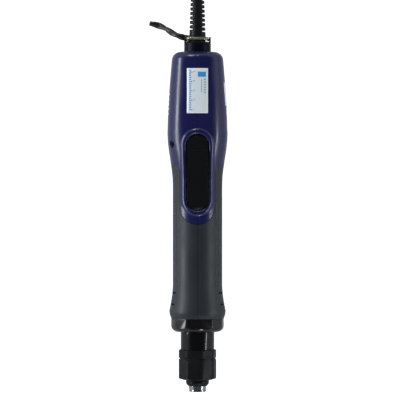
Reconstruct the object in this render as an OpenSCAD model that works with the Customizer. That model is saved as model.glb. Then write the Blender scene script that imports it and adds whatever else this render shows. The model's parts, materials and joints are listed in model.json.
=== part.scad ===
// Electric torque screwdriver for electronics assembly, lying on its back.
// Every piece is drawn upright, standing on its tip: z runs from the tip to the cord,
// x is the width and -y is the lever side. lay() then turns it down onto its back,
// so that the tool's length runs along +Y and the lever faces +Z.

/* [Tip and chuck] */
// Outside diameter of the steel spindle nose
tip_d = 12.7; // [11:0.1:13]
// Length of bare spindle below the chuck sleeve
tip_l = 4.4; // [3.8:0.1:6]
// Distance across the flats of the bit socket
hex_af = 6.35; // [5:0.05:7]
// Depth of the bit socket
socket_l = 20; // [16:1:24]
// Largest diameter of the chuck sleeve
sleeve_d = 17.2; // [16.8:0.1:18]
// Length of chuck sleeve that shows below the torque nut
sleeve_l = 4.1; // [4:0.1:5]
// How far the chuck sleeve pulls down to free a bit
sleeve_travel = 2.5; // [1.5:0.1:2.8]

/* [Torque nut] */
// Diameter of the torque nut over its rounded corners
nut_d = 27.9; // [27.4:0.1:30]
// Distance across the flats of the torque nut
nut_af = 26.6; // [26.2:0.1:28]
// Number of flats round the torque nut
nut_flats = 8; // [6:1:10]
// Length of the torque nut
nut_l = 22.7; // [22:0.1:25]
// Outside diameter of the adjusting thread
thread_d = 22; // [21:0.1:22.4]
// How far the torque nut climbs over its whole range
nut_travel = 6; // [4:0.5:6]

/* [Nose and end ring] */
// Diameter of the nose tube between nut and end ring
neck_d = 24.8; // [24.2:0.1:25]
// Length of nose tube that shows
neck_l = 13.3; // [10:0.1:16]
// Diameter of the end ring over its flats' corners
ring_d = 39; // [38:0.1:40]
// Number of flats round the end ring
ring_flats = 12; // [10:1:14]
// Length of the end ring
ring_l = 10; // [9:0.1:12]

/* [Grip] */
// Width of the grip at its lower lip
lip_w = 39.2; // [38.6:0.1:40]
// Width of the grip at its flare
flare_w = 41.8; // [41:0.1:43]
// Width of the straight handle
handle_w = 36.6; // [36:0.1:38]
// Thickness of the straight handle from back to lever side
handle_t = 37.4; // [36.4:0.1:38.6]
// Height of the flare above the lip
flare_l = 5.5; // [4:0.5:7]
// Length over which the flare runs into the handle
taper_l = 18; // [14:1:22]
// Length of the grip from its lip to the parting line with the housing
grip_l = 114.5; // [112:0.5:118]
// Wall of the grip outside the gearbox
grip_wall = 3; // [2.6:0.1:3.1]

/* [Housing] */
// Greatest width of the housing
housing_w = 44.6; // [44:0.1:46]
// Greatest thickness of the housing on the lever side, from the tool's axis
housing_front = 21.7; // [21.2:0.1:22.2]
// Distance from the tool's axis to the flat back it lies on
back_depth = 20.6; // [20.4:0.1:20.8]
// Width of the housing at its top shoulder
shoulder_w = 38.2; // [37:0.1:39]
// Length of the housing above the parting line
housing_l = 82; // [80:0.5:86]
// Radius of the top shoulder
shoulder_r = 6; // [5:0.5:7]
// Wall beside the control board at the widest point
housing_wall = 4; // [3.6:0.1:4.4]
// Width of the rim that runs down round the lever
rim_w = 25.5; // [24:0.1:27]
// Gap between housing and grip along the parting line
parting_gap = 0.3; // [0.2:0.05:0.4]
// Number of vent slots in the left side
vent_count = 5; // [3:1:6]
// Distance between vent slots
vent_pitch = 3.6; // [3.2:0.1:4]
// Height of a vent slot
vent_h = 1.6; // [1.2:0.1:2]

/* [Lever] */
// Width of the start lever
lever_w = 15.5; // [14.5:0.1:16]
// Length of the opening for the lever
lever_l = 55.8; // [54:0.1:57]
// Gap between the lever and its opening
lever_gap = 0.7; // [0.5:0.05:0.9]
// Thickness of the lever's plate
lever_t = 3; // [2.5:0.1:3.4]
// Diameter of the lever's pivot pin
lever_pin_d = 2; // [1.8:0.1:2.2]

/* [Drive] */
// Diameter of the motor
motor_d = 26; // [24:0.1:27]
// Length of the motor
motor_l = 51; // [46:1:52]
// Diameter of the motor shaft
shaft_d = 4; // [3:0.1:4.2]
// Gear module
gear_m = 0.6; // [0.58:0.005:0.6]
// Face width of the gears
gear_w = 8; // [6:0.5:8.5]
// Diameter of the output spindle above its nose
spindle_d = 10; // [9:0.1:10.2]
// Thickness of the control board
board_t = 1.6; // [1.2:0.1:2]

/* [Cord end] */
// Diameter of the collar under the strain relief
collar_d = 19.8; // [19.4:0.1:21]
// Height of the collar above the housing
collar_l = 7.5; // [7:0.1:9]
// Diameter of the strain relief at the collar
boot_d = 12.2; // [11.6:0.1:12.3]
// Length of strain relief above the collar
boot_l = 44.75; // [42:0.25:50]
// Diameter of the bail's wire
bail_wire_d = 2; // [1.8:0.1:2]
// Reach of the bail from its pivots
bail_reach = 18; // [16:0.5:19]
// Diameter of the cord
cord_d = 5.5;
// Diameter of the lanyard strap
strap_d = 4.6;

/* [Hidden] */
$fn = 64;
eps = 0.01;

// Clearances
run_fit = 0.05;      // radial, between a shaft and its bore
seat_fit = 0.1;      // radial, between fixed pieces that nest
rest_gap = 0.3;      // between faces of pieces that pass each other

// Heights along the tool, from the tip
sleeve_s0 = tip_l;
nut_s0 = sleeve_s0 + sleeve_l;
nut_s1 = nut_s0 + nut_l;
ring_s0 = nut_s1 + neck_l;
grip_s0 = ring_s0 + ring_l;
flare_s = grip_s0 + flare_l;
handle_s = flare_s + taper_l;
parting_s = grip_s0 + grip_l;
housing_s1 = parting_s + housing_l;
rise_s = parting_s - 16;
widest_s = parting_s + 22;
lever_s1 = parting_s + 21;
lever_s0 = lever_s1 - lever_l;
gear_s = grip_s0 + 37.5;
motor_s0 = gear_s + 15;
motor_s1 = motor_s0 + motor_l;
board_s0 = motor_s1 + 4.5;
board_s1 = housing_s1 - 13;
collar_s1 = housing_s1 + collar_l;
boot_s1 = collar_s1 + boot_l;
pivot_s = collar_s1 + 1.7;
ear_r = 2.3;
tool_l = pivot_s + ear_r;

// Inner radii
cave_r = handle_w / 2 - grip_wall;
loft_r = housing_w / 2 - housing_wall;
flange_r = 16.8;
motor_r = motor_d / 2;
spindle_r = spindle_d / 2;
pin_r = lever_pin_d / 2;
thread_r = thread_d / 2;
neck_r = neck_d / 2;
stub_r = handle_w / 2 - 3.3;  // the nose tube's end, inside the cap ring and the grip
tip_r = tip_d / 2;

// Gears: twelve-tooth sun and planets inside a ring of thirty-six
sun_z = 12;
ring_z = 36;
pressure_angle = 25;
backlash = 0.05;
orbit_r = gear_m * sun_z;
planet_pin_r = 1.5;

// Lever pivot, as depth on the lever side and height along the tool
pivot_d = 17.2;
lever_pivot_s = lever_s1 - 4;

// Screws through both housing halves: depth on the lever side and height
screw_at = [[12.8, lever_s1 - 7.2], [-12.8, lever_s1 - 7.2], [-11.5, housing_s1 - 25]];
screw_r = 1.45;
boss_r = 2.6;

module lay() {
    translate([0, -tool_l / 2, back_depth]) rotate([-90, 0, 0]) children();
}

// Extrudes a shape drawn in width and height towards the lever side, from depth d0 to d1
module to_front(d0, d1) {
    translate([0, -d0, 0]) rotate([90, 0, 0]) linear_extrude(d1 - d0) children();
}

// Extrudes a shape drawn in (-depth, height) across the tool, from x0 to x1
module across(x0, x1) {
    translate([x0, 0, 0]) rotate([90, 0, 90]) linear_extrude(x1 - x0) children();
}

// A rod across the tool at a depth and height
module cross_rod(r, d, s, x0, x1) {
    translate([x0, -d, s]) rotate([0, 90, 0]) cylinder(r = r, h = x1 - x0);
}

module ring(r_out, r_in, s0, s1) {
    translate([0, 0, s0]) difference() {
        cylinder(r = r_out, h = s1 - s0);
        translate([0, 0, -1]) cylinder(r = r_in, h = s1 - s0 + 2);
    }
}

// Outline of the housing and grip

function mix(a, b, t) = a + (b - a) * t;
function ramp(s, a, b) = min(1, max(0, (s - a) / (b - a)));
function ease(t) = t * t * (3 - 2 * t);
function shoulder(s) = s < housing_s1 - shoulder_r ? 0
    : shoulder_r - sqrt(max(0, pow(shoulder_r, 2) - pow(s - housing_s1 + shoulder_r, 2)));

// Half width at height s, from the lip through flare and handle to the shoulder
function half_w(s) =
    s < flare_s ? mix(lip_w, flare_w, sin(90 * ramp(s, grip_s0, flare_s))) / 2
    : s < handle_s ? mix(handle_w, flare_w, pow(1 - ramp(s, flare_s, handle_s), 1.5)) / 2
    : s < widest_s ? mix(handle_w, housing_w, ease(ramp(s, rise_s, widest_s))) / 2
    : mix(housing_w, shoulder_w, pow(ramp(s, widest_s, housing_s1 - shoulder_r), 1.5)) / 2
        - shoulder(s);

// Half thickness at height s
function half_t(s) =
    s < handle_s ? half_w(s) * mix(1, handle_t / handle_w, ramp(s, grip_s0, handle_s))
    : s < widest_s ? mix(handle_t / 2, housing_front, ease(ramp(s, rise_s, widest_s)))
    : mix(housing_front, shoulder_w / 2, pow(ramp(s, widest_s, housing_s1 - shoulder_r), 1.5))
        - shoulder(s);

// The section goes from round at the grip to squarer at the housing
function squareness(s) = mix(2, 2.6, ease(ramp(s, rise_s, widest_s)));
function curve_power(v, n) = sign(v) * pow(abs(v), 2 / n);
section_steps = 44;
function section(s) = [for (i = [0 : section_steps - 1])
    let (a = 360 * (i + 0.5) / section_steps)
    [half_w(s) * curve_power(cos(a), squareness(s)),
     half_t(s) * curve_power(sin(a), squareness(s)), s]];

grip_heights = [grip_s0, grip_s0 + 1, grip_s0 + 3, flare_s, flare_s + 3, flare_s + 7,
    flare_s + 12, handle_s, handle_s + 30, rise_s, rise_s + 5, rise_s + 9, rise_s + 13,
    parting_s + 1];
housing_heights = [lever_s0 - 12, rise_s, for (s = [rise_s + 5 : 4.5 : widest_s - 2]) s, widest_s,
    for (s = [widest_s + 9 : 9 : housing_s1 - shoulder_r - 4]) s,
    for (a = [0 : 15 : 75]) housing_s1 - shoulder_r + shoulder_r * sin(a), housing_s1];

module loft(heights) {
    n = section_steps;
    last = len(heights) - 1;
    points = [for (s = heights) for (p = section(s)) p];
    sides = [for (k = [0 : last - 1], i = [0 : n - 1])
        let (a = k * n + i, b = k * n + (i + 1) % n)
        each [[a, a + n, b + n], [a, b + n, b]]];
    polyhedron(points, concat([[for (i = [0 : n - 1]) i]],
        sides, [[for (i = [n - 1 : -1 : 0]) last * n + i]]));
}

// Front view of the housing below the parting line: two slanting edges and the lever's rim
module housing_front_shape(grow) {
    rim_r = rim_w / 2 + grow;
    rim_s0 = lever_s0 - (rim_w - lever_w - 2 * lever_gap) / 2 - 5.9 - grow;
    translate([0, rim_s0 + rim_r]) circle(rim_r);
    translate([-rim_r, rim_s0 + rim_r]) square([2 * rim_r, parting_s - rim_s0 - rim_r]);
    polygon([[-30, parting_s - grow], [-19.4, parting_s - grow], [-rim_r, parting_s - 5.5 - grow],
        [rim_r, parting_s - 5.5 - grow], [19.4, parting_s - grow], [30, parting_s - grow],
        [30, housing_s1 + 1], [-30, housing_s1 + 1]]);
}

module housing_zone(grow) {
    to_front(-eps, 30) housing_front_shape(grow);
    translate([-30, 0, parting_s - grow]) cube([60, 30, housing_l + 2]);
}

// Stepped hollow for gearbox, motor, board and collar
module hollow() {
    seat = motor_r + run_fit;
    rotate_extrude() polygon([
        [0, grip_s0 - 1], [cave_r, grip_s0 - 1],
        [cave_r, grip_s0 + 1.4], [flange_r + seat_fit, grip_s0 + 1.4],
        [flange_r + seat_fit, grip_s0 + 4.6], [cave_r, grip_s0 + 4.6],
        [cave_r, gear_s - 18], [cave_r - 2, gear_s - 18],
        [cave_r - 2, gear_s - 15], [cave_r, gear_s - 15],
        [cave_r, motor_s0], [seat, motor_s0], [seat, motor_s0 + 5], [cave_r, motor_s0 + 5],
        [cave_r, motor_s1 - 6], [seat, motor_s1 - 6], [seat, motor_s1], [cave_r, motor_s1],
        [cave_r, parting_s + 3], [loft_r, parting_s + 6],
        [loft_r, board_s1 - 9], [cave_r, board_s1 - 6],
        [cave_r, housing_s1 - 5], [0, housing_s1 - 5]]);
}

module back_flat() {
    translate([-30, -30, 0]) cube([60, 30 + back_depth, housing_s1 + 10]);
}

module half(side) {
    translate([side > 0 ? 0 : -40, -40, 0]) cube([40, 80, housing_s1 + 10]);
}

// Racetrack round the lever's place, grown or shrunk on every side
module lever_outline(inset) {
    r = lever_w / 2 + lever_gap - inset;
    translate([0, lever_s0 + inset + r]) circle(r);
    translate([0, lever_s1 - inset - r]) circle(r);
    translate([-r, lever_s0 + inset + r]) square([2 * r, lever_l - 2 * inset - 2 * r]);
}

module screw_bosses() {
    for (p = screw_at) cross_rod(boss_r, p[0], p[1], -loft_r, loft_r);
}

module screw_holes() {
    for (p = screw_at) {
        cross_rod(screw_r + run_fit, p[0], p[1], -30, 15);
        cross_rod(boss_r + 0.1, p[0], p[1], -30, -loft_r + 1);
    }
}

module vents() {
    for (i = [0 : vent_count - 1])
        translate([-30, -7, widest_s + 14.5 + i * vent_pitch - vent_h / 2])
            cube([14, 14, vent_h]);
}

module switch_window() {
    translate([loft_r - 2, -2.9, switch_s - 6.4]) cube([20, 5.8, 12.8]);
    translate([housing_w / 2 - 1.4, -4.6, switch_s - 8.5]) cube([20, 9.2, 17]);
}

module housing_shell() {
    difference() {
        union() {
            difference() {
                intersection() {
                    loft(housing_heights);
                    housing_zone(0);
                    back_flat();
                }
                hollow();
            }
            intersection() {
                screw_bosses();
                translate([0, 0, parting_s]) cylinder(r = loft_r + 0.2, h = housing_l);
            }
        }
        translate([0, 0, housing_s1 - 6]) cylinder(r = collar_neck_r + seat_fit, h = 10);
        to_front(9, 30) lever_outline(0);
        cross_rod(pin_r + run_fit, pivot_d, lever_pivot_s, -11.2, 11.2);
        screw_holes();
        vents();
        switch_window();
    }
}

module grip_shell() {
    difference() {
        intersection() {
            loft(grip_heights);
            back_flat();
        }
        hollow();
        housing_zone(parting_gap);
        for (side = [-1, 1], s = [grip_s0 + 10.5, grip_s0 + 18.9])
            translate([side * 17.4 - 1.5, -10, s - 0.55]) cube([3, 6, 1.1]);
    }
}

module housing_left() {
    color([0.1, 0.11, 0.3]) intersection() { housing_shell(); half(-1); }
}

module housing_right() {
    color([0.1, 0.11, 0.3]) intersection() { housing_shell(); half(1); }
}

module grip_left() {
    color([0.17, 0.19, 0.2]) intersection() { grip_shell(); half(-1); }
}

module grip_right() {
    color([0.17, 0.19, 0.2]) intersection() { grip_shell(); half(1); }
}

module housing_screws() {
    head_x = -loft_r + 1 - 0.05;
    color([0.2, 0.2, 0.22]) for (p = screw_at) {
        cross_rod(screw_r, p[0], p[1], head_x, 13);
        difference() {
            cross_rod(boss_r, p[0], p[1], head_x - 1.8, head_x);
            cross_rod(0.9, p[0], p[1], head_x - 3, head_x - 0.9);
        }
    }
}

// Nose: end ring and the tube that carries the torque nut

module end_ring() {
    turned = 4.5;
    color([0.05, 0.05, 0.055]) difference() {
        intersection() {
            translate([0, 0, ring_s0 - 1]) rotate([0, 0, 6])
                cylinder(d = ring_d + 0.4, h = ring_l + 2, $fn = ring_flats);
            rotate_extrude() polygon([
                [0, ring_s0], [ring_d / 2 - turned, ring_s0],
                for (a = [15 : 15 : 75]) [ring_d / 2 - turned + turned * sin(a),
                    ring_s0 + turned - turned * cos(a)],
                [ring_d / 2, ring_s0 + turned], [ring_d / 2, ring_s0 + ring_l],
                [0, ring_s0 + ring_l]]);
        }
        translate([0, 0, ring_s0 - 1]) cylinder(r = neck_r + run_fit, h = ring_l + 2);
        translate([0, 0, ring_s0 + 1.5]) cylinder(r = stub_r + run_fit, h = ring_l);
    }
}

tube_s0 = nut_s0 + 3.5 + nut_travel + rest_gap + 0.2;
clutch_s = ring_s0 + 2.5;

module nose_tube() {
    color([0.06, 0.065, 0.07]) rotate_extrude() polygon([
        [9, tube_s0], [thread_r, tube_s0], [thread_r, nut_s1 - 0.5], [neck_r, nut_s1],
        [neck_r, ring_s0 + 1.5], [stub_r, ring_s0 + 1.5], [stub_r, grip_s0 + 1.5],
        [flange_r, grip_s0 + 1.5], [flange_r, grip_s0 + 4.5], [stub_r, grip_s0 + 4.5],
        [stub_r, grip_s0 + 7.5], [12.6, grip_s0 + 7.5], [12.6, clutch_s], [9, clutch_s]]);
}

// Torque nut, its spring and the clutch

nut_floor = 3.5;
seat_s = nut_s0 + nut_floor + 0.1;
seat_h = 2.4;

module torque_nut() {
    chamfer = 1.5;
    bore_r = thread_r + run_fit;
    skirt_s = nut_s0 + 15.5;
    color([0.09, 0.095, 0.1]) difference() {
        intersection() {
            translate([0, 0, nut_s0]) rotate([0, 0, 11])
                cylinder(d = nut_af / cos(180 / nut_flats), h = nut_l, $fn = nut_flats);
            rotate_extrude() polygon([
                [0, nut_s0], [9.2, nut_s0], [nut_d / 2, nut_s0 + chamfer],
                [nut_d / 2, skirt_s], [nut_d / 2 - 0.7, skirt_s + 0.5],
                [nut_d / 2 - 0.7, skirt_s + 1], [nut_d / 2, skirt_s + 1.5],
                [nut_d / 2, nut_s1 - 0.6], [nut_d / 2 - 0.6, nut_s1], [0, nut_s1]]);
        }
        translate([0, 0, nut_s0 - 1]) cylinder(r = 7.9, h = nut_l);
        translate([0, 0, nut_s0 + nut_floor]) cylinder(r = bore_r, h = nut_l);
        translate([0, 0, skirt_s]) cylinder(r = neck_r + run_fit, h = nut_l);
    }
}

module spring_seat() {
    color("silver") ring(8.9, tip_r + run_fit, seat_s, seat_s + seat_h);
}

// A helical spring along z: mean radius, wire radius, turns and end heights of the wire
module helix(r, wire, turns, s0, s1, steps, sides) {
    n = turns * steps;
    points = [for (k = [0 : n], j = [0 : sides - 1])
        let (a = 360 * k / steps, b = 360 * j / sides, q = r + wire * cos(b))
        [q * cos(a), q * sin(a), mix(s0 + wire, s1 - wire, k / n) + wire * sin(b)]];
    walls = [for (k = [0 : n - 1], j = [0 : sides - 1])
        let (a = k * sides + j, b = k * sides + (j + 1) % sides)
        each [[a, a + sides, b + sides], [a, b + sides, b]]];
    polyhedron(points, concat([[for (j = [0 : sides - 1]) j]],
        walls, [[for (j = [sides - 1 : -1 : 0]) n * sides + j]]));
}

module torque_spring() {
    color("gray") helix(7.7, 0.85, 7, seat_s + seat_h + 0.1, clutch_s + 3.4, 16, 6);
}

ball_r = 1.6;
ball_s = clutch_s + 8.2;

module clutch_ring() {
    color("silver") difference() {
        ring(12.3, spindle_r + run_fit, clutch_s + 3.7, ball_s - 1.4);
        clutch_ball_set(ball_r + 0.02);
    }
}

module clutch_ball_set(r) {
    for (a = [0 : 60 : 300]) rotate([0, 0, a]) translate([9, 0, ball_s]) sphere(r, $fn = 24);
}

module clutch_balls() {
    color("lightgray") clutch_ball_set(ball_r);
}

module clutch_cam() {
    color("dimgray") difference() {
        ring(12.3, spindle_r, ball_s + 1.3, ball_s + 6);
        clutch_ball_set(ball_r + 0.02);
    }
}

// Spindle, bit socket and chuck

chuck_ball_s = sleeve_s0 + 5;
sleeve_top = nut_s0 + 1.9;
sleeve_lip = nut_s0 - 0.2;

module spindle() {
    shoulder_s = nut_s0 + nut_floor + seat_h + nut_travel + 1;
    shank_r = tip_r - 0.05;
    undercut_r = tip_r - 0.3;
    color([0.8, 0.82, 0.84]) difference() {
        rotate_extrude() polygon([
            [0, 0], [tip_r - 0.5, 0], [tip_r, 0.5], [tip_r, 1.3], [tip_r - 0.25, 1.5],
            [tip_r, 1.7], [tip_r, sleeve_s0 - 0.2], [undercut_r, sleeve_s0 - 0.2],
            [undercut_r, sleeve_s0 + 0.2], [tip_r + 0.45, sleeve_s0 + 0.2],
            [tip_r + 0.45, sleeve_s0 + 0.7], [shank_r, sleeve_s0 + 0.7],
            [shank_r, shoulder_s], [spindle_r, shoulder_s + 1], [spindle_r, gear_s + 0.6],
            [0, gear_s + 0.6]]);
        translate([0, 0, -1]) cylinder(d = hex_af / cos(30), h = socket_l + 1, $fn = 6);
        translate([0, 0, chuck_ball_s]) rotate([0, 90, 0]) cylinder(r = 1.45, h = 10);
    }
}

module bit_ball() {
    color("lightgray") translate([tip_r - 1.5, 0, chuck_ball_s]) sphere(1.4, $fn = 24);
}

module chuck_sleeve() {
    color([0.07, 0.07, 0.075]) rotate_extrude() polygon([
        [tip_r + 0.65, sleeve_s0], [sleeve_d / 2 - 1.4, sleeve_s0], [sleeve_d / 2, sleeve_s0 + 2],
        [sleeve_d / 2 - 0.2, nut_s0 - 0.2], [7.5, nut_s0 - 0.2], [7.5, sleeve_top],
        [tip_r + run_fit + 0.02, sleeve_top], [tip_r + run_fit + 0.02, sleeve_lip],
        [tip_r + 0.65, sleeve_lip]]);
}

module chuck_spring() {
    color("gray") helix(tip_r + 0.33, 0.22, 3, sleeve_s0 + 0.8, sleeve_lip - 0.1, 16, 5);
}

// Planetary gearbox

function roll_angle(base, r) = sqrt(max(0, pow(r / base, 2) - 1)) * 180 / PI;
function involute_angle(base, r) = r <= base ? 0 : roll_angle(base, r) - acos(base / r);
// Half the angle that a tooth takes up at radius r, thinned or thickened by half the play
function tooth_half(z, r, play) =
    let (pitch = gear_m * z / 2, base = pitch * cos(pressure_angle))
    90 / z - play / pitch * 90 / PI + involute_angle(base, pitch) - involute_angle(base, r);

module gear_shape(z, root, tip, play) {
    radii = [root, gear_m * z / 2 * cos(pressure_angle) + 0.05, gear_m * z / 2, mix(gear_m * z / 2, tip, 0.55), tip];
    steps = [for (r = radii) if (r >= root) r];
    polygon([for (i = [0 : z - 1]) each concat(
        [for (r = steps) let (a = 360 * i / z - tooth_half(z, r, play)) [r * cos(a), r * sin(a)]],
        [for (k = [len(steps) - 1 : -1 : 0])
            let (r = steps[k], a = 360 * i / z + tooth_half(z, r, play)) [r * cos(a), r * sin(a)]])]);
}

module small_gear(bore_r) {
    pitch = gear_m * sun_z / 2;
    linear_extrude(gear_w) difference() {
        gear_shape(sun_z, pitch - 1.25 * gear_m, pitch + gear_m, backlash);
        circle(bore_r);
    }
}

gear_face_s = gear_s + 3.2;

module ring_gear() {
    pitch = gear_m * ring_z / 2;
    color([0.35, 0.36, 0.38]) difference() {
        translate([0, 0, gear_s]) cylinder(r = cave_r - seat_fit, h = 15);
        translate([0, 0, gear_s - 1]) linear_extrude(13.2) rotate(180 / ring_z)
            gear_shape(ring_z, pitch - gear_m, pitch + 1.25 * gear_m, -backlash);
        translate([0, 0, gear_s + 10]) cylinder(r = 3.5, h = 10);
    }
}

module bearing_holder() {
    color([0.3, 0.31, 0.33]) rotate_extrude() polygon([
        [8 + seat_fit / 2, gear_s - 15], [cave_r - seat_fit, gear_s - 15],
        [cave_r - seat_fit, gear_s], [6.2, gear_s], [6.2, gear_s - 0.8],
        [8 + seat_fit / 2, gear_s - 0.8]]);
}

module spindle_bearings() {
    color("silver") for (s = [gear_s - 6.8, gear_s - 14.8])
        ring(8, spindle_r + run_fit, s, s + 6);
}

module planet_carrier() {
    color([0.5, 0.5, 0.52]) {
        difference() {
            translate([0, 0, gear_s + 0.6]) cylinder(r = 9.4, h = 2.4);
            for (i = [0 : 2]) rotate([0, 0, 120 * i]) translate([orbit_r, 0, 0])
                translate([0, 0, gear_s]) cylinder(r = planet_pin_r - 0.2, h = 1.2);
        }
        for (i = [0 : 2]) rotate([0, 0, 120 * i]) translate([orbit_r, 0, gear_s + 2.9])
            cylinder(r = planet_pin_r, h = gear_w + 0.6);
    }
}

module planet(i) {
    color([0.62, 0.6, 0.55]) rotate([0, 0, 120 * i]) translate([orbit_r, 0, gear_face_s])
        rotate(180 / sun_z) small_gear(planet_pin_r + run_fit);
}

module sun_gear() {
    color([0.7, 0.66, 0.5]) translate([0, 0, gear_face_s]) small_gear(shaft_d / 2);
}

// Motor

module motor_can() {
    bell = 2;
    color([0.55, 0.56, 0.58]) difference() {
        translate([0, 0, motor_s0]) cylinder(r = motor_r, h = motor_l);
        translate([0, 0, motor_s0 + bell]) cylinder(r = motor_r - 1.2, h = motor_l - 2 * bell);
        translate([0, 0, motor_s0 - 1]) cylinder(r = shaft_d / 2 + 1, h = motor_l + 2);
    }
}

module motor_stator() {
    teeth = 6;
    color([0.65, 0.35, 0.2]) translate([0, 0, motor_s0 + 9]) linear_extrude(motor_l - 18) {
        difference() {
            circle(motor_r - 1.2);
            circle(motor_r - 3);
        }
        for (i = [0 : teeth - 1]) rotate(360 * i / teeth) translate([6.6, -1.8])
            square([motor_r - 3 - 6.4, 3.6]);
    }
}

module motor_bearings() {
    color("silver") for (s = [motor_s0 + 2.05, motor_s1 - 6.05])
        ring(motor_r - 1.2 - run_fit, shaft_d / 2 + run_fit, s, s + 4);
}

module rotor_shaft() {
    color("silver") translate([0, 0, gear_face_s]) cylinder(d = shaft_d, h = motor_s1 + 2 - gear_face_s);
}

module rotor_core() {
    color([0.25, 0.25, 0.27]) ring(6, shaft_d / 2, motor_s0 + 9, motor_s1 - 9);
}

// Control board and start switch

board_d = 4.4;
board_face = board_d + board_t;

module control_board() {
    edge = floor(10 * (sqrt(pow(cave_r, 2) - pow(board_face, 2)) - 0.1)) / 10;
    color([0.05, 0.35, 0.15]) translate([-edge, -board_face, board_s0])
        cube([2 * edge, board_t, board_s1 - board_s0]);
}

module board_parts() {
    color([0.1, 0.1, 0.1]) {
        for (x = [-9, -3, 3]) translate([x, -board_d, board_s1 - 36])
            rotate([-90, 0, 0]) cylinder(r = 2.8, h = 9);
        for (x = [-10.5, -3.5]) translate([x, -board_face - 2, board_s1 - 26]) cube([6, 2, 7]);
        translate([4, -board_face - 4.6, board_s1 - 14]) cube([7, 4.6, 10]);
    }
}

switch_top = 14.2;
plunger_s = lever_s1 - 16;

module start_switch() {
    color([0.12, 0.12, 0.13]) difference() {
        translate([-3.2, -switch_top, lever_s1 - 21]) cube([6.4, switch_top - board_face, 9.6]);
        translate([0, -board_face - 3, plunger_s]) rotate([90, 0, 0])
            cylinder(r = 1.2 + run_fit, h = 10);
    }
}

function lever_under(s) = mix(16.5, 17.6, ramp(s, lever_s0, lever_s1));

module switch_plunger() {
    color([0.7, 0.15, 0.1]) translate([0, -board_face - 4, plunger_s]) rotate([90, 0, 0])
        cylinder(r = 1.2, h = lever_under(plunger_s) - board_face - 4 - 0.1);
}

spring_at_s = board_s0 + 2.9;

module lever_spring() {
    color("gray") translate([0, -board_face - 0.05, spring_at_s]) rotate([90, 0, 0])
        helix(2, 0.3, 4, 0, lever_under(spring_at_s - 2.3) - board_face - 0.15, 12, 5);
}

// Start lever, hinged at its upper end

module lever_profile() {
    s0 = lever_s0 + lever_gap;
    s1 = lever_s1 - lever_gap;
    top0 = handle_t / 2 + 0.9;
    top1 = housing_front - 0.2;
    step_s = lever_s1 - 12.8;
    polygon([
        [-lever_under(s0), s0], [-top0 + 1.2, s0], [-top0 + 0.3, s0 + 2], [-top0, s0 + 5],
        [-mix(top0, top1, ramp(step_s, s0, s1)), step_s],
        [-mix(top0, top1, ramp(step_s, s0, s1)) + 0.9, step_s + 0.9],
        [-top1 + 0.6, s1 - 1], [-top1 + 1.2, s1], [-lever_under(s1), s1]]);
}

module lever() {
    half_lever = lever_w / 2;
    hub_r = 2.4;
    color([0.05, 0.055, 0.06]) difference() {
        intersection() {
            union() {
                intersection() {
                    across(-half_lever, half_lever) lever_profile();
                    translate([0, 10, lever_s0 - 1]) cylinder(r = 32.6, h = lever_l + 2);
                }
                cross_rod(hub_r, pivot_d, lever_pivot_s, -half_lever + 1, half_lever - 1);
            }
            to_front(0, 30) lever_outline(lever_gap);
        }
        cross_rod(pin_r + run_fit, pivot_d, lever_pivot_s, -20, 20);
    }
}

module lever_pin() {
    color("silver") cross_rod(pin_r, pivot_d, lever_pivot_s, -11.1, 11.1);
}

// Direction switch in the right side

switch_s = widest_s + 10.5;

module direction_base() {
    color([0.08, 0.08, 0.09]) difference() {
        translate([cave_r - 0.8, -4, switch_s - 7.5]) cube([loft_r - 0.65 - cave_r + 0.8, 8, 15]);
        translate([cave_r + 0.8, -1.4, switch_s - 5.6]) cube([10, 2.8, 11.2]);
    }
}

module direction_knob() {
    face_x = housing_w / 2 - 0.9;
    color([0.04, 0.04, 0.045]) {
        translate([loft_r + 0.2, -2.5, switch_s - 3]) cube([face_x - loft_r - 0.2, 5, 6]);
        translate([cave_r + 1.1, -1.1, switch_s - 2]) cube([loft_r - cave_r, 2.2, 4]);
        for (k = [-1 : 1]) translate([face_x, -2.5, switch_s + 1.8 * k])
            rotate([-90, 0, 0]) cylinder(r = 0.5, h = 5);
    }
}

// Collar, bail and strain relief

collar_neck_r = 8;

module top_collar() {
    wall_s = housing_s1 - 5;
    ear_x = boot_d / 2 + 0.2 + bail_wire_d + 0.2;
    color([0.07, 0.08, 0.14]) difference() {
        union() {
            translate([0, 0, wall_s - 2.5]) cylinder(r = 10.5, h = 2.5 - seat_fit);
            translate([0, 0, wall_s - 1]) cylinder(r = collar_neck_r, h = 8);
            rotate_extrude() polygon([[0, housing_s1 + 0.05], [collar_d / 2, housing_s1 + 0.05],
                [collar_d / 2, collar_s1 - 1], [collar_d / 2 - 1, collar_s1], [0, collar_s1]]);
            intersection() {
                translate([0, 0, housing_s1 + 1]) cylinder(d = collar_d, h = 20);
                for (side = [-1, 1]) {
                    x0 = side > 0 ? ear_x : -20;
                    cross_rod(ear_r, 0, pivot_s, x0, x0 + 20 - ear_x);
                    translate([x0, -ear_r, collar_s1 - 2])
                        cube([20 - ear_x, 2 * ear_r, pivot_s - collar_s1 + 2]);
                }
            }
        }
        translate([0, 0, wall_s - 3]) cylinder(d = boot_d + 2 * run_fit, h = 40);
        cross_rod(bail_wire_d / 2 + run_fit, 0, pivot_s, -20, 20);
    }
}

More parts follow.
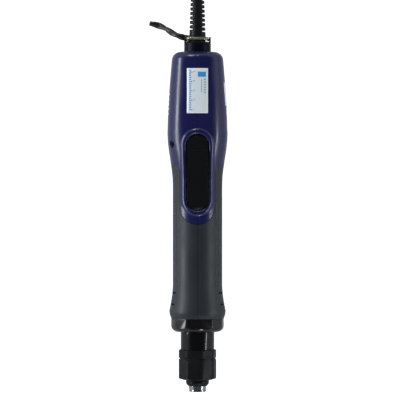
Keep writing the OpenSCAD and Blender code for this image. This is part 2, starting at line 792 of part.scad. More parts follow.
module strain_relief() {
    plain_l = 7.5;
    rib_pitch = 3.3;
    slot_h = 1.2;
    ribs = floor((boot_l - plain_l - 3) / rib_pitch);
    end_r = boot_d / 2 - 1.4;
    wall_s = housing_s1 - 5;
    color([0.06, 0.06, 0.07]) difference() {
        rotate_extrude() polygon([
            [0, wall_s - 5], [8.5, wall_s - 5], [8.5, wall_s - 2.6], [boot_d / 2, wall_s - 2.6],
            [boot_d / 2, collar_s1 + 4], [end_r, boot_s1 - 1], [end_r - 1, boot_s1], [0, boot_s1]]);
        translate([0, 0, wall_s - 6]) cylinder(d = cord_d, h = 4);
        for (i = [0 : ribs - 1], side = [0, 1])
            translate([0, 0, collar_s1 + plain_l + (i + side / 2) * rib_pitch])
                rotate([0, 0, side * 180 - 72]) rotate_extrude(angle = 144)
                    translate([cord_d / 2 + 0.9, 0]) square([6, slot_h]);
    }
}

// Wire bail folded to the lever side, its ends in the collar's ears
module hanging_bail() {
    wire_r = bail_wire_d / 2;
    arm_x = boot_d / 2 + 0.2 + wire_r;
    bend = 2.5;
    color([0.72, 0.6, 0.25]) {
        for (side = [-1, 1]) {
            translate([side * arm_x, 0, pivot_s]) rotate([90, 0, 0])
                cylinder(r = wire_r, h = bail_reach - bend);
            translate([side * arm_x, 0, pivot_s]) sphere(wire_r, $fn = 32);
            translate([side * (arm_x - bend), -bail_reach + bend, pivot_s])
                mirror([side < 0 ? 1 : 0, 0, 0]) rotate([0, 0, -90])
                    rotate_extrude(angle = 90) translate([bend, 0]) circle(wire_r, $fn = 32);
        }
        cross_rod(wire_r, 0, pivot_s, arm_x, collar_d / 2 - 0.4);
        cross_rod(wire_r, 0, pivot_s, -collar_d / 2 + 0.4, -arm_x);
        cross_rod(wire_r, bail_reach, pivot_s, bend - arm_x, arm_x - bend);
    }
}

// Cord, lanyard and plug, drawn where they lie

cord_route = [[0, 172, 20.6], [0, 182, 20.2], [1, 192, 17.5], [3.5, 202, 12.5], [7.5, 211, 7.2],
    [12, 220, 3.8], [16.5, 229, 2.9], [20, 238, 2.8], [21.5, 247, 2.8]];
coil_at = [-12, 256];
coil_column = 5.6;
coil_inner = 28.2;
coil_layers = 4;
coil_h = coil_layers * coil_column;
coil_outer = coil_inner + coil_column;
lead_route = [[16.2, 256, 19.7], [16.5, 264, 20.4], [14.8, 271.5, 22.6], [10.5, 278, 25.6],
    [4.5, 282.4, 28.8], [-2.5, 284, 30], [-8, 284, 30]];
strap_route = [[-9.6, 131.2, 12.6], [-13.5, 132.4, 12.2], [-17.5, 134.2, 10.2], [-21, 136.6, 7.2],
    [-24.5, 139, 4.6], [-28.5, 140.8, 2.9], [-32.5, 142, 2.4], [-36, 142.8, 2.4]];

function unit(v) = v / norm(v);
function tangent(p, i) = unit(p[min(i + 1, len(p) - 1)] - p[max(i - 1, 0)]);

// A tube of eight sides swept along a route
module tube(route, r) {
    sides = 8;
    n = len(route);
    points = [for (i = [0 : n - 1], j = [0 : sides - 1])
        let (t = tangent(route, i), u = unit(cross(t, [0, 0, 1])), v = cross(u, t), a = 360 * j / sides)
        route[i] + r * (cos(a) * u + sin(a) * v)];
    walls = [for (i = [0 : n - 2], j = [0 : sides - 1])
        let (a = i * sides + j, b = i * sides + (j + 1) % sides)
        each [[a, b, b + sides], [a, b + sides, a + sides]]];
    polyhedron(points, concat([[for (j = [sides - 1 : -1 : 0]) j]],
        walls, [[for (j = [0 : sides - 1]) (n - 1) * sides + j]]));
}

module cord_run() {
    color([0.05, 0.05, 0.05]) {
        tube(cord_route, cord_d / 2);
        tube(lead_route, cord_d / 2);
    }
}

module cord_coil() {
    cut = 1.5;
    in_r = coil_inner - cord_d / 2;
    out_r = coil_outer + cord_d / 2;
    color([0.05, 0.05, 0.05]) translate([coil_at[0], coil_at[1], 0]) rotate_extrude() polygon([
        [in_r, cut], [in_r + cut, 0], [out_r - cut, 0], [out_r, cut], [out_r, coil_h - cut],
        [out_r - cut, coil_h], [in_r + cut, coil_h], [in_r, coil_h - cut]]);
}

// A tie wrapped round the coil's turns on the side away from the tool
module coil_tie() {
    gap = 0.15;
    wide = 5;
    thick = 1;
    in_x = coil_inner - cord_d / 2 - gap;
    out_x = coil_outer + cord_d / 2 + gap;
    color([0.1, 0.1, 0.1]) translate([coil_at[0], coil_at[1], 0]) rotate([0, 0, 200]) {
        translate([in_x - thick, -wide / 2, 0.1]) cube([thick, wide, coil_h + gap + thick - 0.1]);
        translate([out_x, -wide / 2, 0.1]) cube([thick, wide, coil_h + gap + thick - 0.1]);
        translate([in_x - thick, -wide / 2, coil_h + gap])
            cube([out_x - in_x + 2 * thick, wide, thick]);
    }
}

plug_at = [-8, 284, 30];

module along_plug() {
    translate(plug_at) rotate([0, -90, 0]) children();
}

module plug_body() {
    color([0.08, 0.08, 0.09]) along_plug() {
        rotate_extrude() polygon([[0, 0], [4.2, 0], [5.2, 6], [6.6, 9], [7, 11], [7, 25], [0, 25]]);
    }
}

module plug_ring() {
    color("silver") along_plug() difference() {
        translate([0, 0, 25.05]) cylinder(r = 7.4, h = 13);
        translate([0, 0, 28]) cylinder(r = 6.2, h = 20);
    }
}

module plug_pins() {
    color("gold") along_plug() for (a = [0 : 72 : 288])
        rotate([0, 0, a]) translate([3.6, 0, 28]) cylinder(r = 0.7, h = 7, $fn = 16);
}

module strap_ferrule() {
    a = strap_route[0];
    b = [-4.6, 130, 12.3];
    r = strap_d / 2 + 0.25;
    length = norm(a - b);
    turn = atan2(a[1] - b[1], a[0] - b[0]);
    pitch = acos((a[2] - b[2]) / length);
    color([0.75, 0.6, 0.2]) translate(b) rotate([0, pitch, turn]) cylinder(r = r, h = length);
}

module strap() {
    color([0.05, 0.05, 0.05]) tube(strap_route, strap_d / 2);
}

lay() housing_left();
lay() housing_right();
lay() grip_left();
lay() grip_right();
lay() end_ring();
lay() nose_tube();
lay() top_collar();
lay() strain_relief();
lay() housing_screws();
lay() ring_gear();
lay() bearing_holder();
lay() spindle_bearings();
lay() motor_can();
lay() motor_stator();
lay() motor_bearings();
lay() control_board();
lay() board_parts();
lay() start_switch();
lay() lever_pin();
lay() lever_spring();
lay() direction_base();
strap_ferrule();
strap();
cord_run();
cord_coil();
coil_tie();
plug_body();
plug_ring();
plug_pins();
lay() lever();
lay() switch_plunger();
lay() direction_knob();
lay() spring_seat();
lay() torque_spring();
lay() torque_nut();
lay() spindle();
lay() bit_ball();
lay() clutch_ring();
lay() clutch_balls();
lay() clutch_cam();
lay() planet_carrier();
lay() chuck_sleeve();
lay() chuck_spring();
lay() rotor_shaft();
lay() rotor_core();
lay() sun_gear();
lay() planet(0);  // planet_1
lay() planet(1);  // planet_2
lay() planet(2);  // planet_3
lay() hanging_bail();
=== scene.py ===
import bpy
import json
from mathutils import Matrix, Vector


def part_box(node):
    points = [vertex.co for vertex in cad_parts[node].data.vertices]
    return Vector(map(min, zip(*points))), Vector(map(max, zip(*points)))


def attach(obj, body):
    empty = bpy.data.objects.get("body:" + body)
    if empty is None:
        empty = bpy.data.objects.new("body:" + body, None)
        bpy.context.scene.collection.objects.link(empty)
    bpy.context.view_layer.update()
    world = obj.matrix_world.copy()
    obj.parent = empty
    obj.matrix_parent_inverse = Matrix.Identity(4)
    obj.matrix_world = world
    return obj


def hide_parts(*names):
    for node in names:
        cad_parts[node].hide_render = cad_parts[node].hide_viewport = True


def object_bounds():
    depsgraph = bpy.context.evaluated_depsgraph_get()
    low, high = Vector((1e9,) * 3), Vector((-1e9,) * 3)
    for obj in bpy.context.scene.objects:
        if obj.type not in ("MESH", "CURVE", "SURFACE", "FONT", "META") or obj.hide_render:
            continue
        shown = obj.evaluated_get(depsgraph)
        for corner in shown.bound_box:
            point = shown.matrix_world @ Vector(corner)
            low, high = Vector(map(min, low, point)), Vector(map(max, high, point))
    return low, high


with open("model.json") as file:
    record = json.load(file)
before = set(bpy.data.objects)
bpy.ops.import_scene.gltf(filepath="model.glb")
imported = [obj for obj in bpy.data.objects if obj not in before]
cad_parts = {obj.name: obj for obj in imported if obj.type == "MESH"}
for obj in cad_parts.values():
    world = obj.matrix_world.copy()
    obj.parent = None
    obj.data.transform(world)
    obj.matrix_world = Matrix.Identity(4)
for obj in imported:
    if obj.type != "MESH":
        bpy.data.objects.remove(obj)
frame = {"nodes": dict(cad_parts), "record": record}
CAD_BOX = [list(corner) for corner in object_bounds()]

import json
import math

import bmesh
import bpy
import numpy as np
from mathutils import Matrix, Vector

bl_info = {
    "name": "Electric torque screwdriver",
    "version": (1, 0, 0),
    "blender": (4, 5, 0),
    "location": "3D View > Sidebar > Screwdriver",
    "description": "Dresses the packed model of a corded electric torque screwdriver",
    "category": "Object",
}

MM = 0.001

# What is added to a slot's name for its finish, and the colour of the soft lights
FINISH = "_finish"
DAYLIGHT = (0.88, 0.94, 1.0)

# The tool's own lines in the row frame: its tip and its axis
TIP_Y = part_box("spindle")[0].y
AXIS_Z = sum(corner.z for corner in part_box("torque_nut")) / 2

# The vent slots in the left side and the dashes on the grip, in millimetres
VENTS = 5
VENT_START = 204.7
VENT_PITCH = 3.6
VENT_H = 1.6
GRIP_MARKS_START = 80
GRIP_MARK_ROWS = 27
GRIP_MARK_PITCH = 2.25
GRIP_MARK_COLUMNS = (13.6, 14.7, 15.8)

# The dark joint between housing and grip, and the front label with its print, in millimetres
JOINT_W = 0.8
LABEL = (-7.7, 7.7, 205.2, 238.2)
SHEET_LIFT = 0.1
FIELD_LIFT = 0.13
PRINT_LIFT = 0.16
FILM = 0.02
TICKS = 22
TICK_PITCH = 1.38
TICKS_PER_NUMBER = 5

# Heights along the tool from its tip, in millimetres
GRIP_START = 54.5
FLARE = 60.0
HANDLE = 78.0
RISE = 153.0
PARTING = 169.0
PARTING_AT_RIM = 163.4
WIDEST = 191.0
HOUSING_END = 251.0
SHOULDER = 6.0
LEVER_START = 134.2
LEVER_END = 190.0
LEVER_HALF = 8.45
RIM_HALF = 12.75

# The cord's way in millimetres, from the end of the strain relief to the coil
CORD_ROUTE = [
    (0, 172, 20.6), (0, 182, 20.2), (1, 192, 17.5), (3.5, 202, 12.5), (7.5, 211, 7.2),
    (12, 220, 3.8), (16.5, 229, 2.9), (20, 238, 2.8), (21.5, 247, 2.8),
]
COIL_CENTRE = (-12, 256)
COIL_OUTER = 33.8
COIL_INNER = 28.2
COIL_PITCH = 5.6
COIL_BASE = 2.8
LEAD_ROUTE = [
    (21.8, 256, 19.7), (21.6, 263, 20.1), (19.8, 270, 21.6), (15.6, 276.5, 24.2),
    (9.3, 281.4, 27.2), (2.0, 283.9, 29.5), (-3.5, 284, 30), (-8, 284, 30),
]
STRAP_ROUTE = [
    (-9.6, 131.2, 12.6), (-13.5, 132.4, 12.2), (-17.5, 134.2, 10.2), (-21, 136.6, 7.2),
    (-24.5, 139, 4.6), (-28.5, 140.8, 2.9), (-32.5, 142, 2.4), (-36, 142.8, 2.4),
]


def at(x, s, d):
    """A point in the row frame from width, height along the tool and depth towards the lever."""
    return Vector((x * MM, TIP_Y + s * MM, AXIS_Z + d * MM))


def linear(red, green, blue):
    """A colour given in eighth-bit display values, as the linear values that shaders use."""
    parts = [v / 255 for v in (red, green, blue)]
    return tuple(v / 12.92 if v <= 0.04045 else ((v + 0.055) / 1.055) ** 2.4 for v in parts)


def ease(t):
    return t * t * (3 - 2 * t)


# The outline of grip and housing


def ramp(s, a, b):
    return np.clip((np.asarray(s, float) - a) / (b - a), 0, 1)


def mix(a, b, t):
    return a + (b - a) * t


def shoulder_drop(s):
    rise = np.clip(np.asarray(s, float) - HOUSING_END + SHOULDER, 0, SHOULDER)
    return SHOULDER - np.sqrt(np.maximum(0, SHOULDER**2 - rise**2))


def half_width(s):
    lip = mix(39.2, 41.8, np.sin(np.pi / 2 * ramp(s, GRIP_START, FLARE))) / 2
    flare = mix(36.6, 41.8, (1 - ramp(s, FLARE, HANDLE)) ** 1.5) / 2
    neck = mix(36.6, 44.6, ease(ramp(s, RISE, WIDEST))) / 2
    top = mix(44.6, 38.2, ramp(s, WIDEST, HOUSING_END - SHOULDER) ** 1.5) / 2 - shoulder_drop(s)
    return np.where(s < FLARE, lip, np.where(s < HANDLE, flare, np.where(s < WIDEST, neck, top)))


def half_depth(s):
    low = half_width(s) * mix(1, 37.4 / 36.6, ramp(s, GRIP_START, HANDLE))
    neck = mix(18.7, 21.7, ease(ramp(s, RISE, WIDEST)))
    top = mix(21.7, 19.1, ramp(s, WIDEST, HOUSING_END - SHOULDER) ** 1.5) - shoulder_drop(s)
    return np.where(s < HANDLE, low, np.where(s < WIDEST, neck, top))


def squareness(s):
    return mix(2, 2.6, ease(ramp(s, RISE, WIDEST)))


def body_value(x, s, d):
    """1 on the outline of grip and housing, less inside it and more outside."""
    n = squareness(s)
    return np.abs(x / half_width(s)) ** n + np.abs(d / half_depth(s)) ** n


def front_depth(x, s):
    """Depth of the lever side's surface at a width and a height."""
    n = squareness(s)
    inside = np.maximum(0, 1 - np.abs(x / half_width(s)) ** n)
    return float(half_depth(s) * inside ** (1 / n))


def side_reach(d, s):
    """Width of the body's side at a depth and a height."""
    n = squareness(s)
    inside = np.maximum(0, 1 - np.abs(d / half_depth(s)) ** n)
    return float(half_width(s) * inside ** (1 / n))


# Node groups


def new_group(name, inputs, outputs):
    group = bpy.data.node_groups.new(name, "ShaderNodeTree")
    for label, kind, value in inputs:
        socket = group.interface.new_socket(label, in_out="INPUT", socket_type=kind)
        if value is not None:
            socket.default_value = value
    for label, kind in outputs:
        group.interface.new_socket(label, in_out="OUTPUT", socket_type=kind)
    start = group.nodes.new("NodeGroupInput")
    end = group.nodes.new("NodeGroupOutput")
    return group, start, end


def math_node(tree, operation, a, b=None, clamp=False):
    node = tree.nodes.new("ShaderNodeMath")
    node.operation = operation
    node.use_clamp = clamp
    for socket, value in zip(node.inputs, (a, b)):
        if isinstance(value, (int, float)):
            socket.default_value = value
        elif value is not None:
            tree.links.new(value, socket)
    return node.outputs[0]


def noise_node(tree, vector, scale, detail=3.0, roughness=0.55):
    node = tree.nodes.new("ShaderNodeTexNoise")
    node.inputs["Detail"].default_value = detail
    node.inputs["Roughness"].default_value = roughness
    tree.links.new(vector, node.inputs["Vector"])
    if isinstance(scale, (int, float)):
        node.inputs["Scale"].default_value = scale
    else:
        tree.links.new(scale, node.inputs["Scale"])
    return node.outputs["Fac"]


def grain_group():
    """Fine moulded grain: small rounded pits between smooth lands."""
    group, start, end = new_group(
        "moulded_grain",
        [("Vector", "NodeSocketVector", None), ("Scale", "NodeSocketFloat", 3000.0)],
        [("Height", "NodeSocketFloat")],
    )
    cells = group.nodes.new("ShaderNodeTexVoronoi")
    group.links.new(start.outputs["Vector"], cells.inputs["Vector"])
    group.links.new(start.outputs["Scale"], cells.inputs["Scale"])
    noise = noise_node(group, start.outputs["Vector"], start.outputs["Scale"])
    total = math_node(group, "ADD", cells.outputs["Distance"], noise)
    group.links.new(math_node(group, "MULTIPLY", total, 0.5), end.inputs["Height"])
    return group


def mottle_group():
    """Roughness that drifts between two values in soft patches, as on a handled surface."""
    group, start, end = new_group(
        "handled_mottle",
        [
            ("Vector", "NodeSocketVector", None),
            ("Scale", "NodeSocketFloat", 60.0),
            ("Low", "NodeSocketFloat", 0.3),
            ("High", "NodeSocketFloat", 0.45),
        ],
        [("Roughness", "NodeSocketFloat")],
    )
    noise = noise_node(group, start.outputs["Vector"], start.outputs["Scale"], 5.0)
    spread = group.nodes.new("ShaderNodeMapRange")
    spread.inputs["From Min"].default_value = 0.35
    spread.inputs["From Max"].default_value = 0.65
    group.links.new(noise, spread.inputs["Value"])
    group.links.new(start.outputs["Low"], spread.inputs["To Min"])
    group.links.new(start.outputs["High"], spread.inputs["To Max"])
    group.links.new(spread.outputs["Result"], end.inputs["Roughness"])
    return group


def tint_group():
    """A colour that lightens and darkens a little over the surface."""
    group, start, end = new_group(
        "tint_drift",
        [
            ("Vector", "NodeSocketVector", None),
            ("Color", "NodeSocketColor", (0.5, 0.5, 0.5, 1)),
            ("Scale", "NodeSocketFloat", 90.0),
            ("Amount", "NodeSocketFloat", 0.2),
        ],
        [("Color", "NodeSocketColor")],
    )
    noise = noise_node(group, start.outputs["Vector"], start.outputs["Scale"], 4.0)
    shift = math_node(group, "SUBTRACT", noise, 0.5)
    gain = math_node(group, "MULTIPLY_ADD", shift, start.outputs["Amount"])
    group.nodes[-1].inputs[2].default_value = 1.0
    scale = group.nodes.new("ShaderNodeVectorMath")
    scale.operation = "SCALE"
    group.links.new(start.outputs["Color"], scale.inputs[0])
    group.links.new(gain, scale.inputs["Scale"])
    group.links.new(scale.outputs[0], end.inputs["Color"])
    return group


def turned_group():
    """Fine tool marks that run round the tool's axis."""
    group, start, end = new_group(
        "turned_marks",
        [("Vector", "NodeSocketVector", None), ("Scale", "NodeSocketFloat", 4000.0)],
        [("Height", "NodeSocketFloat")],
    )
    split = group.nodes.new("ShaderNodeSeparateXYZ")
    group.links.new(start.outputs["Vector"], split.inputs[0])
    lines = group.nodes.new("ShaderNodeTexNoise")
    lines.noise_dimensions = "1D"
    lines.inputs["Detail"].default_value = 2.0
    group.links.new(split.outputs["Y"], lines.inputs["W"])
    group.links.new(start.outputs["Scale"], lines.inputs["Scale"])
    group.links.new(lines.outputs["Fac"], end.inputs["Height"])
    return group


def seam_group():
    """1 along the mould's parting line in the middle of the shell, 0 away from it."""
    group, start, end = new_group(
        "mould_seam",
        [("Vector", "NodeSocketVector", None), ("Width", "NodeSocketFloat", 0.0004)],
        [("Mask", "NodeSocketFloat")],
    )
    split = group.nodes.new("ShaderNodeSeparateXYZ")
    group.links.new(start.outputs["Vector"], split.inputs[0])
    away = math_node(group, "ABSOLUTE", split.outputs["X"])
    share = math_node(group, "DIVIDE", away, start.outputs["Width"], clamp=True)
    group.links.new(math_node(group, "SUBTRACT", 1.0, share), end.inputs["Mask"])
    return group


def place_group(tree, name, **values):
    node = tree.nodes.new("ShaderNodeGroup")
    node.node_tree = bpy.data.node_groups[name]
    for label, value in values.items():
        if isinstance(value, bpy.types.NodeSocket):
            tree.links.new(value, node.inputs[label])
        else:
            node.inputs[label].default_value = value
    return node


def make_finish(
    name,
    colour,
    low,
    high,
    metallic=0.0,
    specular=0.5,
    tint=0.2,
    tint_scale=90.0,
    mottle_scale=60.0,
    grain_scale=0.0,
    grain_depth=0.0,
    turned_scale=0.0,
    turned_depth=0.0,
    sheen=0.0,
    seam=0.0,
):
    """A material with drifting colour and roughness, and grain, tool marks or a seam."""
    material = bpy.data.materials.new(name + FINISH)
    material.use_nodes = True
    tree = material.node_tree
    shader = tree.nodes["Principled BSDF"]
    shader.inputs["Metallic"].default_value = metallic
    shader.inputs["Specular IOR Level"].default_value = specular
    shader.inputs["Sheen Weight"].default_value = sheen
    shader.inputs["Sheen Roughness"].default_value = 0.5
    where = tree.nodes.new("ShaderNodeTexCoord").outputs["Object"]
    tinted = place_group(
        tree, "tint_drift", Vector=where, Color=(*colour, 1), Scale=tint_scale, Amount=tint
    ).outputs["Color"]
    mottled = place_group(
        tree, "handled_mottle", Vector=where, Scale=mottle_scale, Low=low, High=high
    )
    tree.links.new(mottled.outputs["Roughness"], shader.inputs["Roughness"])
    normal = None
    layers = []
    if grain_depth:
        grain = place_group(tree, "moulded_grain", Vector=where, Scale=grain_scale)
        layers.append((grain.outputs["Height"], grain_depth))
    if turned_depth:
        marks = place_group(tree, "turned_marks", Vector=where, Scale=turned_scale)
        layers.append((marks.outputs["Height"], turned_depth))
    if seam:
        line = place_group(tree, "mould_seam", Vector=where, Width=0.0005).outputs["Mask"]
        layers.append((math_node(tree, "SUBTRACT", 1.0, line), seam))
        darker = tree.nodes.new("ShaderNodeMix")
        darker.data_type = "RGBA"
        colours = [socket for socket in darker.inputs if socket.type == "RGBA"]
        tree.links.new(math_node(tree, "MULTIPLY", line, 0.85), darker.inputs[0])
        tree.links.new(tinted, colours[0])
        colours[1].default_value = (0.004, 0.004, 0.006, 1)
        tinted = next(socket for socket in darker.outputs if socket.type == "RGBA")
    for height, depth in layers:
        bump = tree.nodes.new("ShaderNodeBump")
        bump.inputs["Strength"].default_value = 0.6
        bump.inputs["Distance"].default_value = depth
        tree.links.new(height, bump.inputs["Height"])
        if normal is not None:
            tree.links.new(normal, bump.inputs["Normal"])
        normal = bump.outputs["Normal"]
    if normal is not None:
        tree.links.new(normal, shader.inputs["Normal"])
    tree.links.new(tinted, shader.inputs["Base Color"])
    return material


def make_materials(settings):
    """Every finish of the tool, under its slot's name."""
    for build in (grain_group, mottle_group, tint_group, turned_group, seam_group):
        build()
    make_finish("housing_navy", settings.navy, 0.2, 0.27, specular=0.5, tint=0.12,
                grain_scale=2600, grain_depth=0.000012, seam=0.00008)
    make_finish("grip_grey", settings.grip, 0.4, 0.52, specular=0.35, tint=0.18,
                grain_scale=2200, grain_depth=0.00003, seam=0.0001)
    make_finish("grip_marks", settings.grip_marks, 0.55, 0.7, specular=0.4, tint=0.3,
                grain_scale=2200, grain_depth=0.00003)
    make_finish("black_gloss", linear(11, 11, 13), 0.08, 0.13, specular=0.4, tint=0.2,
                grain_scale=900, grain_depth=0.000003)
    make_finish("black_plastic", linear(9, 10, 13), 0.12, 0.19, specular=0.45, tint=0.25,
                grain_scale=2600, grain_depth=0.00002)
    make_finish("black_metal", linear(20, 21, 23), 0.34, 0.44, specular=0.12, tint=0.25,
                turned_scale=3800, turned_depth=0.000006)
    make_finish("nose_black", linear(8, 8, 10), 0.08, 0.13, specular=0.3, tint=0.2,
                turned_scale=5200, turned_depth=0.000002)
    make_finish("collar_plastic", linear(7, 9, 26), 0.3, 0.4, specular=0.1, tint=0.2,
                grain_scale=2600, grain_depth=0.000012)
    make_finish("steel", linear(178, 180, 184), 0.28, 0.4, metallic=1.0, tint=0.15,
                turned_scale=3000, turned_depth=0.000006)
    make_finish("bright_steel", linear(158, 158, 160), 0.05, 0.12, metallic=1.0, tint=0.12,
                turned_scale=5200, turned_depth=0.000003)
    make_finish("spring_steel", linear(150, 150, 154), 0.25, 0.35, metallic=1.0, tint=0.2)
    make_finish("brass", linear(132, 122, 58), 0.16, 0.3, metallic=1.0, tint=0.5,
                tint_scale=300)
    make_finish("nickel", linear(150, 146, 128), 0.08, 0.2, metallic=1.0, tint=0.3,
                tint_scale=300)
    make_finish("copper", linear(196, 120, 76), 0.3, 0.4, metallic=1.0, tint=0.3,
                grain_scale=1600, grain_depth=0.00004)
    make_finish("rubber_black", linear(20, 20, 22), 0.3, 0.42, specular=0.16, tint=0.3,
                grain_scale=2600, grain_depth=0.00002)
    make_finish("cord_black", linear(24, 24, 26), 0.5, 0.62, tint=0.25, sheen=0.1,
                grain_scale=2600, grain_depth=0.00002)
    make_finish("strap_black", linear(14, 14, 14), 0.2, 0.5, tint=0.8, tint_scale=700,
                grain_scale=1300, grain_depth=0.00012)
    make_finish("board_green", linear(24, 104, 54), 0.3, 0.4, tint=0.2)
    make_finish("part_black", linear(28, 28, 31), 0.3, 0.42, tint=0.2)
    make_finish("plunger_red", linear(170, 36, 28), 0.3, 0.4, tint=0.2)
    make_finish("gold", linear(224, 186, 110), 0.2, 0.3, metallic=1.0, tint=0.2)
    make_finish("label_white", linear(247, 251, 255), 0.32, 0.42, tint=0.04)
    make_finish("label_panel", settings.panel, 0.35, 0.45, tint=0.08)
    make_finish("label_print", settings.print_blue, 0.35, 0.45, tint=0.25, tint_scale=400)
    make_finish("label_fade", linear(140, 178, 208), 0.35, 0.45, tint=0.3, tint_scale=400)


# Pieces

BODY_OF = {n: b for b, nodes in frame["record"]["behaviour"]["bodies"].items() for n in nodes}
SLOT_OF = {p["node"]: p["material_slot"] for p in frame["record"]["subparts"]}


def add_piece(name, bm, material, body, smooth=True):
    mesh = bpy.data.meshes.new(name)
    bm.to_mesh(mesh)
    bm.free()
    for polygon in mesh.polygons:
        polygon.use_smooth = smooth
    mesh.materials.append(bpy.data.materials[material + FINISH])
    piece = bpy.data.objects.new(name, mesh)
    bpy.context.scene.collection.objects.link(piece)
    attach(piece, body)
    return piece


def node_copy(node):
    """The CAD node's triangles in one joined bmesh."""
    bm = bmesh.new()
    bm.from_mesh(frame["nodes"][node].data)
    bmesh.ops.remove_doubles(bm, verts=bm.verts, dist=2e-6)
    return bm


def soften(piece, width, segments=3, angle=28.0):
    """Small roundings on every edge sharper than the angle."""
    piece.data.set_sharp_from_angle(angle=math.radians(angle))
    bevel = piece.modifiers.new("edge_roundings", "BEVEL")
    bevel.limit_method = "ANGLE"
    bevel.angle_limit = math.radians(angle)
    bevel.width = width * MM
    bevel.segments = segments
    bevel.profile = 0.5
    bevel.harden_normals = True
    bevel.use_clamp_overlap = True


def dress(node, width=0.25, material=None, segments=3, angle=28.0):
    """A copy of a CAD node with rounded edges, which stands for it."""
    bm = node_copy(node)
    bmesh.ops.dissolve_limit(
        bm, angle_limit=math.radians(0.6), verts=bm.verts, edges=bm.edges
    )
    piece = add_piece(node + "_dressed", bm, material or SLOT_OF[node], BODY_OF[node])
    soften(piece, width, segments, angle)
    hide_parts(node)
    return piece


def skin(node):
    """A copy of a shell half whose outside is shaded as one smooth surface."""
    piece = add_piece(node + "_skin", node_copy(node), SLOT_OF[node], BODY_OF[node], False)
    mesh = piece.data
    spots = np.empty(len(mesh.vertices) * 3)
    mesh.vertices.foreach_get("co", spots)
    spots = spots.reshape(-1, 3) / MM
    x, s, d = spots[:, 0], spots[:, 1] - TIP_Y / MM, spots[:, 2] - AXIS_Z / MM
    step = 0.02
    slope = np.stack(
        [
            body_value(x + step, s, d) - body_value(x - step, s, d),
            body_value(x, s + step, d) - body_value(x, s - step, d),
            body_value(x, s, d + step) - body_value(x, s, d - step),
        ],
        axis=1,
    )
    slope /= np.maximum(np.linalg.norm(slope, axis=1, keepdims=True), 1e-9)
    outside = np.abs(body_value(x, s, d) - 1) < 0.05
    normals = np.zeros((len(mesh.loops), 3))
    for polygon in mesh.polygons:
        corners = list(polygon.vertices)
        if not outside[corners].all():
            continue
        mean = slope[corners].mean(axis=0)
        if np.dot(mean, np.array(polygon.normal)) < 0.88 * np.linalg.norm(mean):
            continue
        polygon.use_smooth = True
        for loop, corner in zip(polygon.loop_indices, corners):
            normals[loop] = slope[corner]
    mesh.normals_split_custom_set(normals)
    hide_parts(node)
    return piece


def sweep(bm, rings, closed_ring=True, closed_path=False):
    """Extrudes a first ring through the places of the others; gives its first and last edges."""
    first = [bm.verts.new(p) for p in rings[0]]
    pairs = list(zip(first, first[1:])) + ([(first[-1], first[0])] if closed_ring else [])
    edges = [bm.edges.new(pair) for pair in pairs]
    start_edges, verts = edges, first
    for ring in rings[1:]:
        made = bmesh.ops.extrude_edge_only(bm, edges=edges)["geom"]
        new = {v for v in made if isinstance(v, bmesh.types.BMVert)}
        follow = []
        for v in verts:
            follow.append(next(e.other_vert(v) for e in v.link_edges if e.other_vert(v) in new))
        for v, place in zip(follow, ring):
            v.co = place
        edges = [e for e in made if isinstance(e, bmesh.types.BMEdge)
                 and e.verts[0] in new and e.verts[1] in new]
        verts = follow
    if closed_path:
        bmesh.ops.bridge_loops(bm, edges=edges + start_edges)
    return start_edges, edges


def tube_rings(path, shape):
    """Rings round a path; shape(i, angle) gives the radius."""
    rings = []
    up = Vector((0, 0, 1))
    for i, p in enumerate(path):
        along = (path[min(i + 1, len(path) - 1)] - path[max(i - 1, 0)]).normalized()
        side = along.cross(up).normalized()
        top = side.cross(along)
        count = 24
        rings.append([
            p + (side * math.cos(a) + top * math.sin(a)) * shape(i, a)
            for a in (2 * math.pi * j / count for j in range(count))
        ])
    return rings


def curve_through(points, parts):
    """Points along a smooth line through the given ones."""
    points = [Vector(p) for p in points]
    ends = [2 * points[0] - points[1], *points, 2 * points[-1] - points[-2]]
    line = []
    for a, b, c, d in zip(ends, ends[1:], ends[2:], ends[3:]):
        for k in range(parts):
            t = k / parts
            line.append(0.5 * (
                2 * b + (c - a) * t + (2 * a - 5 * b + 4 * c - d) * t**2
                + (3 * b - a - 3 * c + d) * t**3
            ))
    return [*line, points[-1]]


# Cord and strap


def coil_points(step=7.5, turns=7.0):
    """Seven turns in two columns: one short shift to the next place a little before each turn ends."""
    cells = [(COIL_OUTER, 0), (COIL_INNER, 0), (COIL_INNER, 1), (COIL_OUTER, 1),
             (COIL_OUTER, 2), (COIL_INNER, 2), (COIL_INNER, 3), (COIL_OUTER, 3)]
    first, period, window = 270, 324, 75
    points = []
    for k in range(int(360 * turns / step)):
        turn = k * step
        j = max(-1, int((turn - first) // period))
        share = 0 if j < 0 else ease(min(1, (turn - first - j * period) / window))
        here, there = cells[max(j, 0)], cells[max(j, 0) + (1 if j >= 0 else 0)]
        reach = mix(here[0], there[0], share)
        level = mix(here[1], there[1], share)
        a = math.radians(turn)
        points.append(Vector((
            COIL_CENTRE[0] + reach * math.cos(a),
            COIL_CENTRE[1] + reach * math.sin(a),
            COIL_BASE + COIL_PITCH * level,
        )))
    return points


